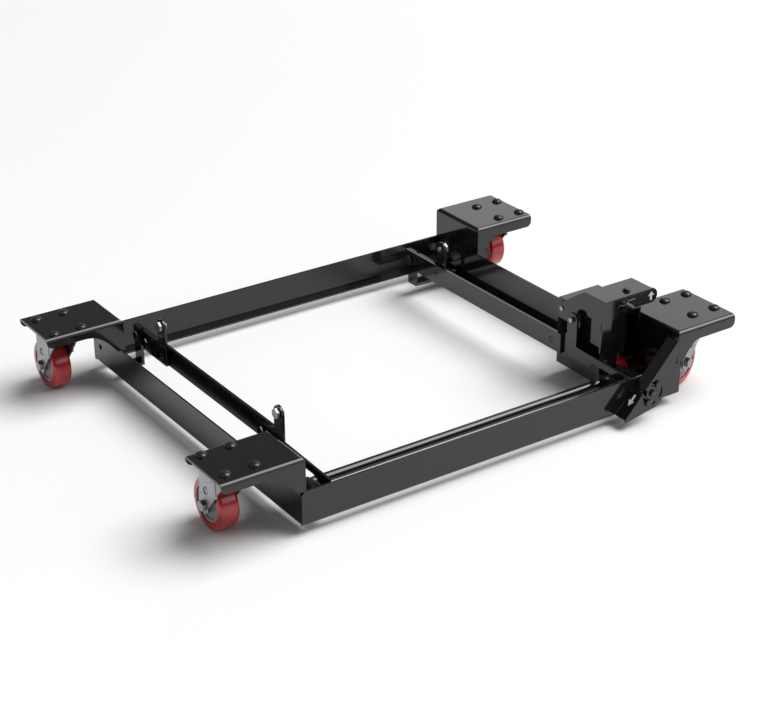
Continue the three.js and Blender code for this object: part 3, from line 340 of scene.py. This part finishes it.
def caster_plate_look(name, axis):
    """Zinc top plate with black bolt heads above the bracket and a cream raceway round the swivel axis."""
    look = Look(name)
    x, y, z = split(look.place)
    cloud = noise(look.place, *ZINC_CLOUD)
    dx, dy = x - axis[0], y - axis[1]
    apart = (dx * dx + dy * dy).math("SQRT")
    race = apart.math("LESS_THAN", RACE_RADIUS) * z.math("LESS_THAN", PLATE_UNDERSIDE)
    head = z.math("GREATER_THAN", BRACKET_TOP)
    color = blend_color(cloud.ramp(0.4, 0.7), ZINC, ZINC_WARM)
    color = blend_color(race, color, CREAM)
    color = blend_color(head, color, BOLT_BLACK)
    metal = race.math("MAXIMUM", head) * -1.0 + 1.0
    return look.set(base_color=color, roughness=blend_value(cloud, *PLATE_GLOSS), metallic=metal)


def hub_look(name):
    """Moulded grey nylon: a faint grain and darker patches."""
    look = Look(name)
    grain = noise(look.place, *NYLON_GRAIN)
    cloud = noise(look.place, *NYLON_CLOUD)
    return look.set(base_color=blend_color(cloud.ramp(0.35, 0.75), NYLON, NYLON_DARK),
                    roughness=blend_value(grain, *NYLON_GLOSS),
                    normal=bump(grain, strength=0.12, distance=0.0002))


def tread_look(name):
    """Red polyurethane: cloudy deep red, speckled with light scuffs that are less glossy."""
    look = Look(name)
    cloud = noise(look.place, *TREAD_CLOUD)
    speck = noise(look.place, *SPECKS).ramp(0.56, 0.72)
    scuff = noise(look.place, *SCUFFS).ramp(0.52, 0.7) * speck
    color = blend_color(cloud.ramp(0.3, 0.75), RED, RED_DEEP)
    color = blend_color(scuff * 0.6, color, SCUFFED)
    return look.set(base_color=color, roughness=blend_value(scuff, *TREAD_GLOSS), coat_weight=0.4,
                    subsurface_weight=0.15, subsurface_scale=0.004,
                    normal=bump(speck, strength=0.05, distance=0.0002))


def plain_look(name, color, roughness):
    """One even colour with a fine grain in its shade and its gloss."""
    look = Look(name)
    grain = noise(look.place, *PLAIN_GRAIN)
    less, more = 1 - PLAIN_SPREAD, 1 + PLAIN_SPREAD
    return look.set(base_color=blend_color(grain, color, tuple(c * less for c in color)),
                    roughness=blend_value(grain, roughness * less, roughness * more))


def socket_look(name):
    """The worn dark metal of a socket's rim."""
    look = Look(name)
    grain = noise(look.place, *SOCKET_GRAIN)
    return look.set(base_color=blend_color(grain, SOCKET_DARK, SOCKET_WORN),
                    roughness=blend_value(grain, *SOCKET_GLOSS), metallic=1.0)


# Surface smoothing
# One geometry group shades every piece smooth and keeps edges sharp above an angle.

def smooth_group(angle):
    """A node group that shades faces smooth and marks edges sharper than the angle."""
    group = bpy.data.node_groups.new("smooth_under_angle", "GeometryNodeTree")
    group.interface.new_socket("Geometry", in_out="INPUT", socket_type="NodeSocketGeometry")
    group.interface.new_socket("Geometry", in_out="OUTPUT", socket_type="NodeSocketGeometry")
    enter = group.nodes.new("NodeGroupInput")
    leave = group.nodes.new("NodeGroupOutput")
    faces = group.nodes.new("GeometryNodeSetShadeSmooth")
    edges = group.nodes.new("GeometryNodeSetShadeSmooth")
    edges.domain = "EDGE"
    edges.inputs["Shade Smooth"].default_value = False
    turn = group.nodes.new("GeometryNodeInputMeshEdgeAngle")
    limit = group.nodes.new("FunctionNodeCompare")
    limit.operation = "GREATER_THAN"
    limit.inputs["B"].default_value = angle
    group.links.new(enter.outputs[0], faces.inputs["Geometry"])
    group.links.new(turn.outputs["Unsigned Angle"], limit.inputs["A"])
    group.links.new(limit.outputs[0], edges.inputs["Selection"])
    group.links.new(faces.outputs["Geometry"], edges.inputs["Geometry"])
    group.links.new(edges.outputs["Geometry"], leave.inputs[0])
    return group


SMOOTH = smooth_group(angle=math.radians(32))
BEVELLED_ANGLE = math.radians(38)
FLAT_ANGLE = math.radians(0.4)
WELD_REACH = 0.01 * MM


def finish_surface(piece, bevel=0.0):
    """Welds split corners, joins flat faces, rounds sharp edges and shades the piece smooth."""
    weld = piece.modifiers.new("weld", "WELD")
    weld.merge_threshold = WELD_REACH
    flat = piece.modifiers.new("flat", "DECIMATE")
    flat.decimate_type = "DISSOLVE"
    flat.angle_limit = FLAT_ANGLE
    if bevel:
        rounding = piece.modifiers.new("bevel", "BEVEL")
        rounding.width = bevel
        rounding.segments = 2
        rounding.limit_method = "ANGLE"
        rounding.angle_limit = BEVELLED_ANGLE
        rounding.miter_outer = "MITER_ARC"
    smooth = piece.modifiers.new("smooth", "NODES")
    smooth.node_group = SMOOTH
    normals = piece.modifiers.new("flat_faces", "WEIGHTED_NORMAL")
    normals.keep_sharp = True


# Frame nodes
# Each gets the look of its slot, or one of its own, and the edge radius of its slot.
EDGES = {"powder": 0.7 * MM, "zinc": 0.5 * MM, "steel": 0.3 * MM, "hub": 0.4 * MM, "black_bolt": 0.5 * MM}
PEDAL_EDGE = 1.3 * MM
ROUND_NODES = ("tread", "jack_roller", "pedal_spring")


def dress(node, piece, slot):
    """Puts one CAD node's material and edge rounding on it."""
    corner = next((c for c in CORNERS if node.startswith(c)), None)
    if node.endswith("_caster_plate"):
        look = caster_plate_look(node, joint_place(f"{corner}_swivel_turn"))
    elif slot == "powder":
        look = powder_look(node, head_boxes(node))
    elif node.endswith("_pivot_bolt"):
        look = plain_look(node, BOLT_BLACK, BOLT_ROUGHNESS)
    elif slot == "zinc":
        look = zinc_look(node, BRUSHED_UPRIGHT if node.endswith("_fork") else EVEN)
    elif slot == "hub":
        look = hub_look(node)
    elif slot == "tread":
        look = tread_look(node)
    elif slot == "black_bolt":
        look = plain_look(node, BOLT_BLACK, BOLT_ROUGHNESS)
    elif node == "release_shaft":
        look = release_shaft_look(node)
    else:
        look = steel_look(node)
    piece.data.materials.clear()
    piece.data.materials.append(look)
    edge = PEDAL_EDGE if node in ("raise_pedal", "lower_pedal") else EDGES.get(slot, 0.0)
    finish_surface(piece, 0.0 if any(word in node for word in ROUND_NODES) else edge)


SLOTS = {entry["node"]: entry["material_slot"] for entry in frame["record"]["subparts"]}
for node_name, node_piece in frame["nodes"].items():
    dress(node_name, node_piece, SLOTS[node_name])


# Added pieces
# Each is one mesh with its object at the origin and its place in the mesh, riding on a CAD body.

def add_mesh(name, vertices, faces, look, body, slot, bevel=0.0):
    """A new piece from points and faces, riding on a body."""
    mesh = bpy.data.meshes.new(name)
    mesh.from_pydata([tuple(map(float, v)) for v in vertices], [], [tuple(map(int, f)) for f in faces])
    mesh.update()
    piece = bpy.data.objects.new(name, mesh)
    bpy.context.scene.collection.objects.link(piece)
    mesh.materials.append(look)
    finish_surface(piece, bevel)
    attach(piece, body)
    return piece


def turned(profile, sides, centre, axis="Z"):
    """Points and quads of a profile of (radius, height) turned about the Z or Y axis through the centre."""
    angles = np.linspace(0, 2 * np.pi, sides, endpoint=False)
    radius, height = np.array(profile, dtype=float).T
    rings = np.stack([
        radius[:, None] * np.cos(angles),
        radius[:, None] * np.sin(angles),
        np.repeat(height[:, None], sides, axis=1),
    ], axis=-1)
    order = {"Z": (0, 1, 2), "Y": (1, 2, 0)}[axis]
    points = rings.reshape(-1, 3)[:, order] + np.array(centre)
    i, j = np.meshgrid(np.arange(len(profile) - 1), np.arange(sides), indexing="ij")
    a, b = i * sides + j, i * sides + (j + 1) % sides
    return points, np.stack([a, b, b + sides, a + sides], axis=-1).reshape(-1, 4)


def gather(shapes):
    """Several (points, faces) pairs as one pair."""
    points, faces, count = [], [], 0
    for shape_points, shape_faces in shapes:
        points.append(shape_points)
        faces.append(shape_faces + count)
        count += len(shape_points)
    return np.concatenate(points), np.concatenate(faces)


# Domed bolt heads
# Smooth button domes with a thin collar go over the faceted heads of the caster bolts.
DOME_RADIUS = 8.7 * MM
DOME_HEIGHT = 4.7 * MM
DOME_COLLAR = 0.6 * MM
DOME_STEPS = 7
DOME_SIDES = 32
DOME_LIFT = 0.1 * MM
BOLT_SPACING = (43 * MM, 60 * MM)


def dome_profile():
    """Radius and height of a button head from its collar to its crown."""
    crown_radius, crown_height = DOME_RADIUS - DOME_COLLAR, DOME_HEIGHT - DOME_COLLAR
    crown = [(crown_radius * math.cos(turn), DOME_COLLAR + crown_height * math.sin(turn))
             for turn in np.linspace(0, np.pi / 2, DOME_STEPS)]
    return [(DOME_RADIUS, 0.0), (DOME_RADIUS, DOME_COLLAR), *crown]


def add_domes(corner):
    """The four dome heads of one caster, on its bracket."""
    (x0, y0, _), (x1, y1, _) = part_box(f"{corner}_caster_plate")
    cx, cy = (x0 + x1) / 2, (y0 + y1) / 2
    places = [(cx + a * BOLT_SPACING[0] / 2, cy + b * BOLT_SPACING[1] / 2, BRACKET_TOP + DOME_LIFT)
              for a in (-1, 1) for b in (-1, 1)]
    shapes = [turned(dome_profile(), DOME_SIDES, place) for place in places]
    look = plain_look(f"{corner}_dome_black", BOLT_BLACK, DOME_ROUGHNESS)
    add_mesh(f"{corner}_dome_heads", *gather(shapes), look, "frame", "black_bolt")


for corner_name in CORNERS:
    add_domes(corner_name)


# Arrows
# A plain up arrow is printed on the raise pedal's tab and a plain down arrow on the lower pedal's tread.
ARROW = ((-0.16, -0.5), (0.16, -0.5), (0.16, 0.02), (0.5, 0.02), (0.0, 0.5), (-0.5, 0.02), (-0.16, 0.02))
INK = 0.15 * MM
LIFT = 0.05 * MM
TREAD_MIDDLE = 11 * MM
FOLD_RISE = 5 * MM
FOLD_INSET = 4 * MM
RAISE_ARROW_INSET = 12 * MM
RAISE_ARROW_DROP = 11.5 * MM
RAISE_ARROW_SIZE = (12 * MM, 14 * MM)
LOWER_ARROW_SIZE = (11 * MM, 19 * MM)
LOWER_ARROW_RISE = 0.22


def add_arrow(name, centre, across, along, body):
    """A thin printed arrow whose width and length lie along two vectors."""
    across, along = np.array(across), np.array(along)
    normal = np.cross(across, along)
    normal = normal / np.linalg.norm(normal) * INK
    flat = [np.array(centre) + across * u + along * v for u, v in ARROW]
    points = flat + [p + normal for p in flat]
    count = len(flat)
    faces = [tuple(range(count))[::-1], tuple(range(count, 2 * count))]
    faces += [(i, (i + 1) % count, count + (i + 1) % count, count + i) for i in range(count)]
    add_mesh(name, points, faces, plain_look(f"{name}_ink", ARROW_WHITE, INK_ROUGHNESS), body, "powder")


def add_arrows():
    """Both arrows, placed from the pedals' boxes."""
    low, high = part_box("raise_pedal")
    tab = (high[0] - RAISE_ARROW_INSET, low[1] - LIFT, high[2] - RAISE_ARROW_DROP)
    width, length = RAISE_ARROW_SIZE
    add_arrow("raise_arrow", tab, (width, 0, 0), (0, 0, length), "raise_pedal")
    low, high = map(np.array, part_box("lower_pedal"))
    foot = np.array((low[0], low[1] + TREAD_MIDDLE, low[2] + FOLD_RISE))
    crown = np.array((high[0] - FOLD_INSET, low[1] + TREAD_MIDDLE, high[2]))
    slope = (crown - foot) / np.linalg.norm(crown - foot)
    upright = np.array((-slope[2], 0.0, slope[0]))
    middle = foot + (crown - foot) * LOWER_ARROW_RISE + upright * LIFT
    width, length = LOWER_ARROW_SIZE
    add_arrow("lower_arrow", middle, (0, width, 0), -slope * length, "lower_pedal")


add_arrows()


# Small fixings
# The lower pedal's three button heads get sockets. The raise pedal gets its pad bolt, its gusset and two bright
# zinc clip ends on its lip, which also stand in for two highlight lines: partly painted highlight.
# Its lip ends LIP_DROP below its top and its tab TAB_DROP below it, and the tab is TAB_WIDTH wide. The profile
# and the marks of the bright clip ends (painted highlight) are in millimetres.
SOCKET_RADIUS = 2.1 * MM
SOCKET_RIM = 0.5 * MM
SOCKET_PROUD = 0.12 * MM
SOCKETS = (("release_shaft", "lower_pedal"), ("stop_screw_1", "frame"), ("stop_screw_2", "frame"))
PAD_BOLT_PLACE = (58.5 * MM, 15 * MM)
PAD_BOLT_SIDES = 28
PAD_BOLT_PROFILE = ((6.5, 0.02), (6.5, 1.0), (4.6, 1.0), (4.6, 3.2), (3.6, 4.2), (0.0, 4.3))
# The lip marks place the bright zinc clip ends, which stand in for highlight lines on the lip: painted highlight.
LIP_HIGHLIGHT_MARKS = ((39.5, 43.5), (48.5, 63.5))
LIP_HIGHLIGHT_MARK_RISE = (-9.0, -7.4)
TAB_WIDTH = 42 * MM
TAB_DROP = 23 * MM
LIP_DROP = 10 * MM
PEDAL_WALL = 3 * MM
GUSSET_RUN = 17 * MM
LAP = 1.2 * MM


def add_socket(node, body):
    """A raised hexagonal rim on the middle of a button head that faces front."""
    (x0, y0, z0), (x1, _, z1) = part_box(node)
    centre = ((x0 + x1) / 2, y0, (z0 + z1) / 2)
    if node == "release_shaft":
        pivot = joint_place("lower_pedal_press")
        centre = (pivot[0], y0, pivot[2])
    outer, inner = SOCKET_RADIUS + SOCKET_RIM, SOCKET_RADIUS
    profile = ((outer, 0.0), (outer, -SOCKET_PROUD), (inner, -SOCKET_PROUD), (inner, 0.0))
    look = socket_look(f"{node}_socket_rim")
    add_mesh(f"{node}_socket", *turned(profile, 6, centre, "Y"), look, body, "black_bolt")


def add_box(name, low, high, look, body, slot):
    """A plain block between two corners."""
    points = [(x, y, z) for x in (low[0], high[0]) for y in (low[1], high[1]) for z in (low[2], high[2])]
    faces = [(0, 1, 3, 2), (4, 6, 7, 5), (0, 4, 5, 1), (2, 3, 7, 6), (0, 2, 6, 4), (1, 5, 7, 3)]
    add_mesh(name, points, faces, look, body, slot)


def add_pad_bolt(low, high):
    """The washer-head bolt on the raise pedal's pad."""
    place = (low[0] + PAD_BOLT_PLACE[0], low[1] + PAD_BOLT_PLACE[1], high[2])
    profile = [(radius * MM, height * MM) for radius, height in PAD_BOLT_PROFILE]
    look = plain_look("pad_bolt_black", BOLT_BLACK, PAD_BOLT_ROUGHNESS)
    add_mesh("pad_bolt", *turned(profile, PAD_BOLT_SIDES, place), look, "raise_pedal", "black_bolt")


def add_tab_gusset(low, high):
    """The triangle of plate that slants from the raise pedal's lip down the left edge of its tab."""
    left, foot, brow = high[0] - TAB_WIDTH, high[2] - TAB_DROP, high[2] - LIP_DROP
    outline = [(left - GUSSET_RUN, brow + LAP), (left + LAP, brow + LAP), (left + LAP, foot + LAP)]
    points = [(x, low[1] + y, z) for y in (LAP / 10, PEDAL_WALL - LAP / 10) for x, z in outline]
    faces = [(0, 2, 1), (3, 4, 5), (0, 1, 4, 3), (1, 2, 5, 4), (2, 0, 3, 5)]
    add_mesh("tab_gusset", points, faces, powder_look("tab_gusset_powder"), "raise_pedal", "powder", LAP / 2)


def add_lip_highlight_clip(low, high):
    """The bright zinc clip ends on the raise pedal's lip, put where the lip shows two highlight lines: partly a
    painted highlight.
    """
    look = zinc_look("lip_clip_zinc")
    bottom, top = (high[2] + rise * MM for rise in LIP_HIGHLIGHT_MARK_RISE)
    for index, (near, far) in enumerate(LIP_HIGHLIGHT_MARKS):
        add_box(f"lip_clip_{index + 1}", (low[0] + near * MM, low[1] - 2 * LIFT, bottom),
                (low[0] + far * MM, low[1] + LIFT, top), look, "raise_pedal", "zinc")


for socket_node, socket_body in SOCKETS:
    add_socket(socket_node, socket_body)
pedal_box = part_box("raise_pedal")
add_pad_bolt(*pedal_box)
add_tab_gusset(*pedal_box)
add_lip_highlight_clip(*pedal_box)


# Return spring
# A round wire with closed ends stands for the faceted CAD spring.
WIRE_RADIUS = 1.2 * MM
SPRING_TURNS = 5.5
SPRING_STEPS = 36
WIRE_SIDES = 12
CLOSED_TURN = 0.5
CLOSED_RISE = 0.03


def add_spring():
    """The pump's return spring, standing on the housing round the plunger."""
    low, high = map(np.array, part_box("pedal_spring"))
    reach = (high[0] - low[0]) / 2 - WIRE_RADIUS
    steps = int(SPRING_TURNS * SPRING_STEPS)
    turn = np.linspace(0.0, SPRING_TURNS, steps + 1)
    rise = (high[2] - low[2]) - 2 * WIRE_RADIUS
    height = np.interp(turn, (0.0, CLOSED_TURN, SPRING_TURNS - CLOSED_TURN, SPRING_TURNS),
                       (0.0, CLOSED_RISE, 1 - CLOSED_RISE, 1.0)) * rise
    outward = np.stack([np.cos(2 * np.pi * turn), np.sin(2 * np.pi * turn), np.zeros_like(turn)], axis=1)
    foot = np.array(((low[0] + high[0]) / 2, (low[1] + high[1]) / 2, low[2] + WIRE_RADIUS))
    middle = outward * reach + foot
    middle[:, 2] += height
    angle = np.linspace(0, 2 * np.pi, WIRE_SIDES, endpoint=False)
    across, up = np.cos(angle)[None, :, None], np.sin(angle)[None, :, None]
    ring = outward[:, None] * across + np.array((0, 0, 1.0)) * up
    points = (middle[:, None] + ring * WIRE_RADIUS).reshape(-1, 3)
    faces = [(i * WIRE_SIDES + j, i * WIRE_SIDES + (j + 1) % WIRE_SIDES,
              (i + 1) * WIRE_SIDES + (j + 1) % WIRE_SIDES, (i + 1) * WIRE_SIDES + j)
             for i in range(steps) for j in range(WIRE_SIDES)]
    faces += [tuple(range(WIRE_SIDES))[::-1], tuple(steps * WIRE_SIDES + j for j in range(WIRE_SIDES))]
    spring = add_mesh("return_spring", points, faces, steel_look("spring_steel"), "frame", "steel")
    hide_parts("pedal_spring")
    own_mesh(spring)


add_spring()


# Caster forks
# A plain round ring is pressed into each leg, above the axle and a little toward the swivel.
LEG_FACE = 19.3 * MM
RING_REACH = 0.8
RING_HEIGHT = 63 * MM
RING_RADIUS = 5 * MM
RING_WIRE = 0.8 * MM
RING_SIDES = 28
RING_WIRE_SIDES = 10


def add_leg_rings(corner):
    """The pressed ring on the outer face of both legs of one fork."""
    wheel = next(joint for joint in frame["joints"] if joint["name"] == f"{corner}_wheel_turn")
    swivel = np.array((*joint_place(f"{corner}_swivel_turn")[:2], RING_HEIGHT))
    axle = np.array((*wheel["pos_m"][:2], RING_HEIGHT))
    outward = np.array(wheel["axis"], dtype=float)
    outward /= np.linalg.norm(outward)
    ahead = (axle - swivel) / np.linalg.norm(axle - swivel)
    angle = np.linspace(0, 2 * np.pi, RING_WIRE_SIDES, endpoint=False)
    profile = [(RING_RADIUS + RING_WIRE * math.cos(a), RING_WIRE * math.sin(a)) for a in (*angle, 0.0)]
    shapes = []
    for side in (-1, 1):
        points, faces = turned(profile, RING_SIDES, (0, 0, 0))
        centre = swivel + (axle - swivel) * RING_REACH + outward * side * LEG_FACE
        placed = centre + points @ np.stack([ahead, (0, 0, 1.0), np.cross(ahead, (0, 0, 1.0))])
        shapes.append((placed, faces))
    look = zinc_look(f"{corner}_ring_zinc")
    add_mesh(f"{corner}_leg_rings", *gather(shapes), look, f"{corner}_swivel", "zinc")


for corner_name in CORNERS:
    add_leg_rings(corner_name)


# Floor, light and camera
# A pale floor under soft boxes; the camera stands where the photograph was taken from.
CAMERA_PLACE = (-1.3520, -1.99175, 1.2398)
CAMERA_AZIMUTH = math.radians(-34.226)
CAMERA_TILT = math.radians(63.653)
CAMERA_ROLL = math.radians(-0.350)
LENS_MM = 85.43
SENSOR_MM = 36.0
CLIP_START = 0.05
FLOOR_SPAN = 60.0
FLOOR_DROP = 0.2 * MM
WORLD_COLOR = (0.95, 0.96, 1.0, 1.0)
WORLD_STRENGTH = 0.16
SOFT_BOXES = (  # name, place, turn in degrees, size, watts
    ("left_box", (-2.4, -0.3, 1.2), (0, -68, 0), (1.4, 2.2), 3),
    ("front_box", (1.5, -2.4, 1.2), (63, 0, 33), (2.2, 1.0), 9),
    ("edge_box", (1.6, -1.4, 2.4), (41, 0, 49), (1.3, 0.5), 10),
    ("right_box", (2.4, 2.2, 1.55), (64, 0, 134), (1.5, 1.2), 5.5),
)


def add_floor():
    """A wide pale floor that runs to the horizon."""
    mesh = bpy.data.meshes.new("floor")
    half = FLOOR_SPAN / 2
    corners = [(-half, -half), (half, -half), (half, half), (-half, half)]
    mesh.from_pydata([(x, y, -FLOOR_DROP) for x, y in corners], [], [(0, 1, 2, 3)])
    floor = bpy.data.objects.new("floor", mesh)
    bpy.context.scene.collection.objects.link(floor)
    mesh.materials.append(Look("floor_paper").set(base_color=FLOOR_WHITE, roughness=FLOOR_ROUGHNESS))


def add_light(name, place, turn, size, power):
    """A rectangular soft box."""
    data = bpy.data.lights.new(name, "AREA")
    data.shape = "RECTANGLE"
    data.size, data.size_y = size
    data.energy = power
    light = bpy.data.objects.new(name, data)
    light.location = place
    light.rotation_euler = [math.radians(a) for a in turn]
    bpy.context.scene.collection.objects.link(light)


def add_camera():
    """The photograph's camera."""
    data = bpy.data.cameras.new("camera")
    data.sensor_width = SENSOR_MM
    data.lens = LENS_MM
    data.clip_start = CLIP_START
    camera = bpy.data.objects.new("camera", data)
    camera.matrix_world = (Matrix.Translation(CAMERA_PLACE) @ Matrix.Rotation(CAMERA_AZIMUTH, 4, "Z")
                           @ Matrix.Rotation(CAMERA_TILT, 4, "X") @ Matrix.Rotation(CAMERA_ROLL, 4, "Z"))
    bpy.context.scene.collection.objects.link(camera)
    bpy.context.scene.camera = camera


def add_sun(strength, angle, turn):
    """One very soft overhead light, even over the whole floor."""
    data = bpy.data.lights.new("sky_light", "SUN")
    data.energy = strength
    data.angle = math.radians(angle)
    light = bpy.data.objects.new("sky_light", data)
    light.rotation_euler = [math.radians(a) for a in turn]
    bpy.context.scene.collection.objects.link(light)


add_floor()
add_sun(strength=3.3, angle=50, turn=(12, 30, 0))
for soft_box in SOFT_BOXES:
    add_light(*soft_box)
add_camera()

world = bpy.data.worlds.new("studio")
bpy.context.scene.world = world
world.use_nodes = True
background = world.node_tree.nodes["Background"]
background.inputs["Color"].default_value = WORLD_COLOR
background.inputs["Strength"].default_value = WORLD_STRENGTH
bpy.context.scene.view_settings.view_transform = "Standard"
